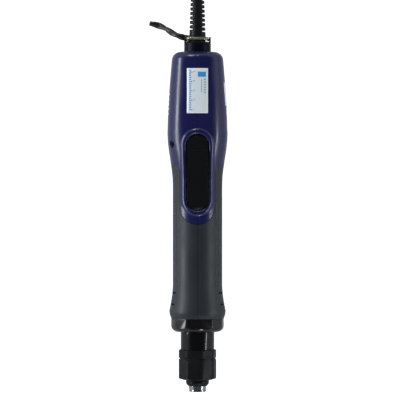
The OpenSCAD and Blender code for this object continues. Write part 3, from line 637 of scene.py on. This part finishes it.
def make_cord(settings):
    """The cord from strain relief to plug, with what is on it."""
    line = (curve_through([*CORD_ROUTE, (21.8, 256, 2.8)], 5)[:-1] + coil_points()
            + curve_through(LEAD_ROUTE, 5))
    curve = bpy.data.curves.new("cord", "CURVE")
    curve.dimensions = "3D"
    curve.bevel_depth = settings.cord_diameter / 2
    curve.bevel_resolution = 6
    spline = curve.splines.new("POLY")
    spline.points.add(len(line) - 1)
    for point, place in zip(spline.points, line):
        point.co = (*(place * MM), 1)
    spline.use_smooth = True
    curve.materials.append(bpy.data.materials["cord_black" + FINISH])
    cord = bpy.data.objects.new("cord", curve)
    bpy.context.scene.collection.objects.link(cord)
    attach(cord, "housing")
    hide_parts("cord_run", "cord_coil")
    with_cord = [
        dress("strain_relief", 0.2),
        dress("coil_tie", 0.3),
        dress("plug_body", 0.3),
        dress("plug_ring", 0.25),
        dress("plug_pins", 0.15),
    ]
    return cord


def make_strap():
    """The lanyard's end: two strands laid round each other, held in a metal ferrule."""
    path = [p * MM for p in curve_through(STRAP_ROUTE, 6)]
    travel = [0.0]
    for a, b in zip(path, path[1:]):
        travel.append(travel[-1] + (b - a).length)
    total = travel[-1]

    def lobes(i, a):
        turn = travel[i] / 0.024 * 2 * math.pi
        full = 2.05 + 0.32 * math.cos(2 * (a - turn)) + 0.1 * math.sin(travel[i] / total * 9)
        return full * MM * (0.86 if i in (0, len(path) - 1) else 1)

    bm = bmesh.new()
    start_edges, end_edges = sweep(bm, tube_rings(path, lobes))
    for edges in (start_edges, end_edges):
        bmesh.ops.edgeloop_fill(bm, edges=edges)
    bmesh.ops.recalc_face_normals(bm, faces=bm.faces)
    strap = add_piece("lanyard_strap", bm, "strap_black", "housing")
    strap.data.set_sharp_from_angle(angle=math.radians(50))
    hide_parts("strap")
    ferrule = dress("strap_ferrule", 0.4)
    return strap


# Housing, grip and what is on them


def racetrack(u, count):
    """Places round the lever's opening at a distance u from its middle line, and the way out."""
    low, high = LEVER_START + LEVER_HALF, LEVER_END - LEVER_HALF
    straight, arc = high - low, math.pi * u
    total = 2 * straight + 2 * math.pi * u
    for k in range(count):
        t = total * k / count
        if t < straight:
            yield (u, low + t)
        elif t < straight + arc:
            a = (t - straight) / u
            yield (u * math.cos(a), high + u * math.sin(a))
        elif t < 2 * straight + arc:
            yield (-u, high - (t - straight - arc))
        else:
            a = math.pi + (t - 2 * straight - arc) / u
            yield (u * math.cos(a), low + u * math.sin(a))


def make_lever_rim(settings):
    """The raised rim round the lever's opening, rolled over at both edges."""
    low, high = LEVER_START + LEVER_HALF, LEVER_END - LEVER_HALF
    crown, sunk, steps = settings.rim_height / MM, 0.35, 12
    inner, outer = LEVER_HALF + 0.12, RIM_HALF + 0.25
    profile = [(LEVER_HALF + 0.02, -1.5), (LEVER_HALF + 0.05, -0.6)]
    for k in range(steps + 1):
        t = k / steps
        bulge = math.sin(math.pi * t ** 0.8) ** 0.75
        profile.append((mix(inner, outer, t), mix(-sunk, crown, bulge)))
    profile.append((RIM_HALF + 0.35, -0.9))
    rings = []
    for x, s in racetrack((LEVER_HALF + RIM_HALF) / 2 - 0.1, 150):
        middle = min(max(s, low), high)
        out = Vector((x, s - middle)).normalized()
        ring = []
        for u, h in profile:
            px, ps = out.x * u, middle + out.y * u
            ring.append(at(px, ps, front_depth(px, ps) + h))
        rings.append(ring)
    bm = bmesh.new()
    sweep(bm, rings, closed_ring=False, closed_path=True)
    bmesh.ops.recalc_face_normals(bm, faces=bm.faces)
    if sum(f.normal.z for f in bm.faces) < 0:
        bmesh.ops.reverse_faces(bm, faces=bm.faces)
    rim = add_piece("lever_rim", bm, "housing_navy", "housing")


def face_out(bm, axis, side=1):
    """Turns every face to look along an axis, or against it with side -1."""
    for f in bm.faces:
        f.normal_update()
        if f.normal[axis] * side < 0:
            f.normal_flip()


def thicken(piece, thick):
    """Gives a thin plate its thickness, in millimetres and inwards."""
    layer = piece.modifiers.new("thickness", "SOLIDIFY")
    layer.thickness = thick * MM
    layer.offset = -1


def drape(bm, lift):
    """Lays points given as width and height onto the front of the body."""
    for v in bm.verts:
        x, s = v.co.x, v.co.y
        v.co = at(x, s, front_depth(x, s) + lift)


def flat_patch(bm, x0, x1, s0, s1, columns, rows):
    """A flat grid between two widths and two heights, to be laid onto the body."""
    made = bmesh.ops.create_grid(bm, x_segments=columns, y_segments=rows, size=0.5)["verts"]
    bmesh.ops.scale(bm, vec=(x1 - x0, s1 - s0, 1), verts=made)
    bmesh.ops.translate(bm, vec=((x0 + x1) / 2, (s0 + s1) / 2, 0), verts=made)
    return made


def front_print(name, lift, material, patches, thick=FILM):
    """Thin printed areas that follow the front of the housing."""
    bm = bmesh.new()
    for x0, x1, s0, s1 in patches:
        columns = max(1, round((x1 - x0) / 0.8))
        rows = max(1, round((s1 - s0) / 1.5))
        flat_patch(bm, x0, x1, s0, s1, columns, rows)
    drape(bm, lift)
    face_out(bm, 2)
    thicken(add_piece(name, bm, material, "housing"), thick)


def number_mesh(figure, size):
    """One figure as a flat mesh, read from the tool's right side."""
    text = bpy.data.curves.new("scale_number", "FONT")
    text.body = figure
    text.size = size
    holder = bpy.data.objects.new("scale_number", text)
    bpy.context.scene.collection.objects.link(holder)
    bpy.context.view_layer.update()
    mesh = bpy.data.meshes.new_from_object(holder)
    mesh.transform(Matrix.Rotation(math.radians(90), 4, "Z"))
    bpy.data.objects.remove(holder)
    bpy.data.curves.remove(text)
    return mesh


def make_label():
    """A blank rating label with a plain scale of ticks and numbers."""
    left, right, low, high = LABEL
    margin = 0.9
    front_print("label_sheet", SHEET_LIFT, "label_white", [LABEL], 0.12)
    front_print("label_field", FIELD_LIFT, "label_panel",
                [(left + margin, right - margin, low + 0.8, high - margin)])
    ticks = []
    for k in range(TICKS):
        s = low + 2.2 + k * TICK_PITCH
        reach = 2.5 if k % TICKS_PER_NUMBER == 0 else 1.6
        ticks.append((left + 1.5, left + 1.5 + reach, s, s + 0.62))
    front_print("label_ticks", PRINT_LIFT, "label_print", ticks)
    front_print("label_band", PRINT_LIFT, "label_print", [(0.2, 6.2, high - 6.4, high - 2.6)])
    bars = [(4.6, 6.1, high - 8.8 - k * 1.9, high - 7.7 - k * 1.9) for k in range(6)]
    bars.append((2.7, 3.3, high - 17.6, high - 8.2))
    front_print("label_bars", PRINT_LIFT, "label_fade", bars)
    bm = bmesh.new()
    for k, figure in enumerate("12345"):
        mesh = number_mesh(figure, 2.3)
        rise = k * TICKS_PER_NUMBER * TICK_PITCH
        mesh.transform(Matrix.Translation((left + 6.1, low + 2.3 + rise, 0)))
        bm.from_mesh(mesh)
        bpy.data.meshes.remove(mesh)
    drape(bm, PRINT_LIFT)
    face_out(bm, 2)
    thicken(add_piece("label_numbers", bm, "label_print", "housing"), FILM)


def side_patches(name, side, lift, material, patches, thick):
    """Plates that follow one side of the body; each patch is depths, then heights."""
    bm = bmesh.new()
    for d0, d1, s0, s1 in patches:
        flat_patch(bm, d0, d1, s0, s1, 20, max(1, round((s1 - s0) / 1.5)))
    for v in bm.verts:
        d, s = v.co.x, v.co.y
        v.co = at(side * (side_reach(d, s) + lift), s, d)
    face_out(bm, 0, side)
    thicken(add_piece(name, bm, material, "housing"), thick)


def make_side_label():
    """A plain white label on the right side, beside the direction switch."""
    side_patches("side_label", 1, 0.1, "label_white", [(-7.5, 9.5, 211.4, 228.2)], 0.12)


def make_painted_vent_shade():
    """Painted shade: dark plates just inside the vent slots of the left side, standing for the shade
    within them.
    """
    slots = [(-6.9, 6.9, VENT_START + VENT_PITCH * k, VENT_START + VENT_PITCH * k + VENT_H)
             for k in range(VENTS)]
    # The dark plates are painted shade, put where the inside of the vent slots lies in shade.
    side_patches("vent_screens", -1, -0.3, "part_black", slots, 0.8)


def make_parting_shadow():
    """The dark joint where the housing's front edge meets the grip, on both sides of the rim."""
    bm = bmesh.new()
    for side in (-1, 1):
        made = flat_patch(bm, 0, 1, -0.5, 0.5, 12, 1)
        for v in made:
            t, width = v.co.x, v.co.y
            x = side * mix(RIM_HALF + 0.2, 19.9, t)
            v.co = (x, mix(PARTING_AT_RIM, PARTING + 0.2, t) + width * JOINT_W, 0)
    drape(bm, 0.05)
    face_out(bm, 2)
    thicken(add_piece("parting_shadow", bm, "part_black", "housing"), 0.3)


def make_grip_marks(settings):
    """Rows of small raised dashes up both sides of the grip."""
    bm = bmesh.new()
    for row in range(GRIP_MARK_ROWS):
        for column, x in enumerate(GRIP_MARK_COLUMNS):
            s = GRIP_MARKS_START + GRIP_MARK_PITCH * (row + 0.5 * (column % 2))
            for side in (-1, 1):
                d = front_depth(x, s)
                out = Vector((side * x / float(half_width(s)) ** 2, 0,
                              d / float(half_depth(s)) ** 2)).normalized()
                across = Vector((0, 1, 0)).cross(out)
                turn = Matrix((across, (0, 1, 0), out)).transposed().to_4x4()
                place = Matrix.Translation(at(side * x, s, d) + out * settings.mark_height * 0.3)
                size = Matrix.Diagonal((0.0004, 0.0010, settings.mark_height, 1))
                bmesh.ops.create_cube(bm, size=1, matrix=place @ turn @ size)
    add_piece("grip_marks", bm, "grip_marks", "housing", smooth=False)


# Stage


def make_stage(settings):
    """A pale floor, soft light from both sides and the camera above the tool."""
    scene = bpy.context.scene
    scene.view_settings.view_transform = "Standard"
    world = bpy.data.worlds.new("studio")
    world.use_nodes = True
    scene.world = world
    tree = world.node_tree
    tree.nodes.clear()
    split = tree.nodes.new("ShaderNodeSeparateXYZ")
    tree.links.new(tree.nodes.new("ShaderNodeTexCoord").outputs["Generated"], split.inputs[0])
    spread = tree.nodes.new("ShaderNodeMapRange")
    spread.interpolation_type = "SMOOTHSTEP"
    spread.inputs["From Min"].default_value = 0.2
    spread.inputs["From Max"].default_value = 0.8
    spread.inputs["To Min"].default_value = settings.horizon_light
    spread.inputs["To Max"].default_value = settings.overhead_light
    tree.links.new(split.outputs["Z"], spread.inputs["Value"])
    around = tree.nodes.new("ShaderNodeBackground")
    tree.links.new(spread.outputs["Result"], around.inputs["Strength"])
    plain = tree.nodes.new("ShaderNodeBackground")
    path = tree.nodes.new("ShaderNodeLightPath")
    blend = tree.nodes.new("ShaderNodeMixShader")
    tree.links.new(path.outputs["Is Camera Ray"], blend.inputs["Fac"])
    tree.links.new(around.outputs[0], blend.inputs[1])
    tree.links.new(plain.outputs[0], blend.inputs[2])
    tree.links.new(blend.outputs[0], tree.nodes.new("ShaderNodeOutputWorld").inputs["Surface"])

    bm = bmesh.new()
    bmesh.ops.create_grid(bm, x_segments=1, y_segments=1, size=3.0)
    bmesh.ops.translate(bm, vec=(0, 0, CAD_BOX[0][2] - 0.0003), verts=bm.verts)
    mesh = bpy.data.meshes.new("floor")
    bm.to_mesh(mesh)
    bm.free()
    floor = bpy.data.objects.new("floor", mesh)
    scene.collection.objects.link(floor)
    pale = bpy.data.materials.new("pale_floor")
    pale.use_nodes = True
    tree = pale.node_tree
    shader = tree.nodes["Principled BSDF"]
    shader.inputs["Base Color"].default_value = (0.86, 0.86, 0.86, 1)
    shader.inputs["Roughness"].default_value = 0.9
    shader.inputs["Specular IOR Level"].default_value = 0.1
    glow = tree.nodes.new("ShaderNodeEmission")
    path = tree.nodes.new("ShaderNodeLightPath")
    glow.inputs["Color"].default_value = (1, 1, 1, 1)
    total = tree.nodes.new("ShaderNodeAddShader")
    tree.links.new(math_node(tree, "MULTIPLY", path.outputs["Is Camera Ray"], 0.8),
                   glow.inputs["Strength"])
    tree.links.new(shader.outputs[0], total.inputs[0])
    tree.links.new(glow.outputs[0], total.inputs[1])
    tree.links.new(total.outputs[0], tree.nodes["Material Output"].inputs["Surface"])
    mesh.materials.append(pale)

    def softbox(name, place, target, width, length, power):
        light = bpy.data.lights.new(name, "AREA")
        light.shape = "RECTANGLE"
        light.size = width
        light.size_y = length
        light.energy = power
        light.color = DAYLIGHT
        lamp = bpy.data.objects.new(name, light)
        lamp.location = place
        aim = (Vector(target) - Vector(place)).normalized()
        side = aim.cross(Vector((0, 1, 0))).normalized()
        up = side.cross(aim)
        lamp.rotation_euler = Matrix((side, up, -aim)).transposed().to_euler()
        scene.collection.objects.link(lamp)

    softbox("left_softbox", (-0.62, 0.1, 0.24), (0, 0.06, 0.02), 0.16, 0.5, settings.left_light)
    softbox("right_softbox", (0.6, -0.1, 0.3), (0, -0.06, 0.02), 0.05, 0.42, settings.right_light)

    softbox("top_softbox", (-0.18, 0.8, 0.5), (0, 0.1, 0.02), 0.16, 0.16, settings.end_lights)
    softbox("low_softbox", (0.2, -0.85, 0.45), (0, -0.1, 0.02), 0.16, 0.16, settings.end_lights)

    camera = bpy.data.cameras.new("camera")
    camera.lens = settings.lens
    camera.sensor_width = 36.0
    eye = bpy.data.objects.new("camera", camera)
    eye.location = (0.00185, TIP_Y + settings.view_height, 1.6)
    scene.collection.objects.link(eye)
    scene.camera = eye


# Settings, operators and panel


class TorqueDriverSettings(bpy.types.PropertyGroup):
    navy: bpy.props.FloatVectorProperty(
        name="Housing", description="Colour of the housing", size=3, subtype="COLOR",
        min=0, max=1, default=linear(16, 20, 74))
    grip: bpy.props.FloatVectorProperty(
        name="Grip", description="Colour of the grip", size=3, subtype="COLOR",
        min=0, max=1, default=linear(38, 43, 47))
    grip_marks: bpy.props.FloatVectorProperty(
        name="Grip marks", description="Colour of the raised marks on the grip's sides", size=3,
        subtype="COLOR", min=0, max=1, default=linear(96, 99, 100))
    panel: bpy.props.FloatVectorProperty(
        name="Label field", description="Colour of the label's field", size=3,
        subtype="COLOR", min=0, max=1, default=linear(226, 234, 238))
    print_blue: bpy.props.FloatVectorProperty(
        name="Label print", description="Colour of the label's scale", size=3,
        subtype="COLOR", min=0, max=1, default=linear(58, 146, 212))
    rim_height: bpy.props.FloatProperty(
        name="Rim height", description="How far the rim round the lever stands up",
        default=0.0009, min=0, max=0.002, unit="LENGTH")
    mark_height: bpy.props.FloatProperty(
        name="Mark height", description="How far the dashes on the grip stand up",
        default=0.00025, min=0, max=0.001, unit="LENGTH")
    cord_diameter: bpy.props.FloatProperty(
        name="Cord diameter", description="Diameter of the cord",
        default=0.0055, min=0.004, max=0.007, unit="LENGTH")
    strap_diameter: bpy.props.FloatProperty(
        name="Strap diameter", description="Diameter of the lanyard strap",
        default=0.0046, min=0.003, max=0.006, unit="LENGTH")
    view_height: bpy.props.FloatProperty(
        name="View height", description="Place along the tool that the camera looks at",
        default=0.1418, min=0, max=0.3, unit="LENGTH")
    lens: bpy.props.FloatProperty(
        name="Lens", description="Focal length of the camera in millimetres",
        default=192.1, min=50, max=400)
    left_light: bpy.props.FloatProperty(
        name="Left light", description="Power of the left softbox", default=2.7, min=0,
        unit="POWER")
    right_light: bpy.props.FloatProperty(
        name="Right light", description="Power of the right softbox", default=1.0, min=0,
        unit="POWER")
    end_lights: bpy.props.FloatProperty(
        name="End lights", description="Power of the small softboxes beyond each end", default=1.6,
        min=0, unit="POWER")
    horizon_light: bpy.props.FloatProperty(
        name="Horizon", description="Brightness of the surroundings near the horizon",
        default=1.15, min=0, max=2)
    overhead_light: bpy.props.FloatProperty(
        name="Overhead", description="Brightness of the surroundings overhead",
        default=0.14, min=0, max=2)


class TORQUEDRIVER_OT_materials(bpy.types.Operator):
    """Make the finishes and give them to the CAD pieces"""

    bl_idname = "torquedriver.materials"
    bl_label = "Finishes"

    def execute(self, context):
        make_materials(context.scene.torquedriver)
        for node, piece in frame["nodes"].items():
            finish = bpy.data.materials[SLOT_OF[node] + FINISH]
            if not piece.data.materials:
                piece.data.materials.append(finish)
            for slot in piece.material_slots:
                slot.material = finish
        return {"FINISHED"}


class TORQUEDRIVER_OT_stage(bpy.types.Operator):
    """Set up floor, lights and camera"""

    bl_idname = "torquedriver.stage"
    bl_label = "Stage"

    def execute(self, context):
        make_stage(context.scene.torquedriver)
        return {"FINISHED"}


class TORQUEDRIVER_OT_cord(bpy.types.Operator):
    """Lay the cord with its strain relief, tie and plug, and the lanyard strap"""

    bl_idname = "torquedriver.cord"
    bl_label = "Cord and strap"

    def execute(self, context):
        make_cord(context.scene.torquedriver)
        make_strap()
        return {"FINISHED"}


class TORQUEDRIVER_OT_shells(bpy.types.Operator):
    """Make the outsides of housing and grip with their trim, and the collar and bail"""

    bl_idname = "torquedriver.shells"
    bl_label = "Housing and grip"

    def execute(self, context):
        for node in ("housing_left", "housing_right", "grip_left", "grip_right"):
            skin(node)
        make_lever_rim(context.scene.torquedriver)
        make_painted_vent_shade()
        make_parting_shadow()
        make_grip_marks(context.scene.torquedriver)
        dress("housing_screws", 0.2)
        dress("top_collar", 0.35)
        dress("hanging_bail", 0.1, material="nickel", angle=40)
        return {"FINISHED"}


class TORQUEDRIVER_OT_controls(bpy.types.Operator):
    """Make the start lever and the direction switch"""

    bl_idname = "torquedriver.controls"
    bl_label = "Lever and switch"

    def execute(self, context):
        dress("lever", 0.7, segments=4)
        dress("direction_base", 0.2)
        dress("direction_knob", 0.2)
        return {"FINISHED"}


class TORQUEDRIVER_OT_nose(bpy.types.Operator):
    """Make the end ring, nose tube, torque nut, chuck sleeve and spindle"""

    bl_idname = "torquedriver.nose"
    bl_label = "Nose and chuck"

    def execute(self, context):
        dress("end_ring", 0.5, segments=4, angle=20)
        dress("nose_tube", 0.2, material="nose_black")
        dress("torque_nut", 0.3)
        dress("chuck_sleeve", 0.25)
        dress("spindle", 0.15)
        return {"FINISHED"}


class TORQUEDRIVER_OT_labels(bpy.types.Operator):
    """Lay the blank labels on the housing"""

    bl_idname = "torquedriver.labels"
    bl_label = "Labels"

    def execute(self, context):
        make_label()
        make_side_label()
        return {"FINISHED"}


class TORQUEDRIVER_PT_panel(bpy.types.Panel):
    bl_label = "Torque screwdriver"
    bl_idname = "TORQUEDRIVER_PT_panel"
    bl_space_type = "VIEW_3D"
    bl_region_type = "UI"
    bl_category = "Screwdriver"

    def draw(self, context):
        settings = context.scene.torquedriver
        for name in TorqueDriverSettings.__annotations__:
            self.layout.prop(settings, name)
        for operator in OPERATORS:
            self.layout.operator(operator.bl_idname)


OPERATORS = (
    TORQUEDRIVER_OT_materials,
    TORQUEDRIVER_OT_stage,
    TORQUEDRIVER_OT_cord,
    TORQUEDRIVER_OT_shells,
    TORQUEDRIVER_OT_controls,
    TORQUEDRIVER_OT_nose,
    TORQUEDRIVER_OT_labels,
)
CLASSES = (TorqueDriverSettings, *OPERATORS, TORQUEDRIVER_PT_panel)


def register():
    for cls in CLASSES:
        bpy.utils.register_class(cls)
    bpy.types.Scene.torquedriver = bpy.props.PointerProperty(type=TorqueDriverSettings)


def unregister():
    del bpy.types.Scene.torquedriver
    for cls in reversed(CLASSES):
        bpy.utils.unregister_class(cls)


def main():
    register()
    bpy.ops.torquedriver.materials()
    bpy.ops.torquedriver.stage()
    bpy.ops.torquedriver.cord()
    bpy.ops.torquedriver.shells()
    bpy.ops.torquedriver.controls()
    bpy.ops.torquedriver.nose()
    bpy.ops.torquedriver.labels()
    bpy.context.view_layer.update()


if __name__ == "__main__":
    main()
